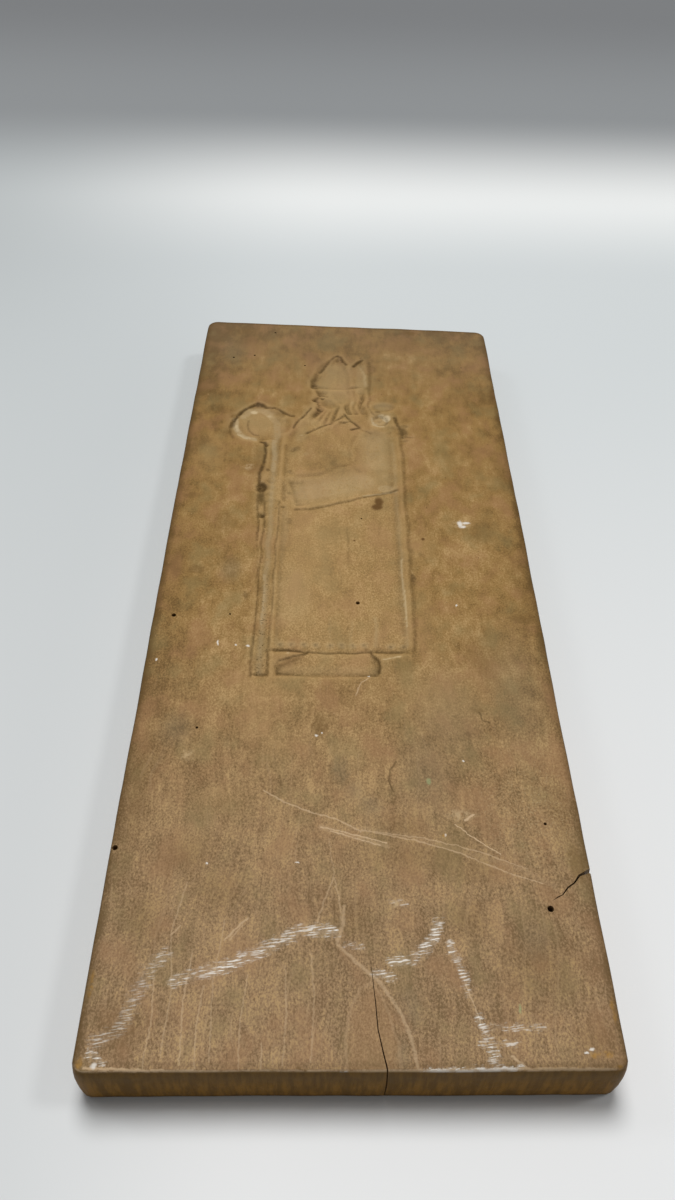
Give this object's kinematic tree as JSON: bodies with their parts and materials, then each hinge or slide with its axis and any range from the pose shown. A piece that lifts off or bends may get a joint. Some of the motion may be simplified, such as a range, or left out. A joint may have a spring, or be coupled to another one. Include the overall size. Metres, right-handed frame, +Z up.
{
  "type": "speculaas board",
  "caption": "Wooden mould for spiced biscuits: a long plank with a bishop in profile, holding a crosier, carved hollow into its upper face.",
  "frame": {"origin": "middle of the plank's underside, on the surface that it lies on", "axes": "+Z up, out of the carved face; +Y along the plank, from the bishop's feet to the mitre; +X to the right as one looks at the upright figure, who faces -X"},
  "size_m": [0.151, 0.3897, 0.02],
  "materials": {
    "board": "old hand-planed fruitwood, worn and scratched, satin"
  },
  "bodies": {
    "root": {"board": "board"}
  },
  "joints": []
}
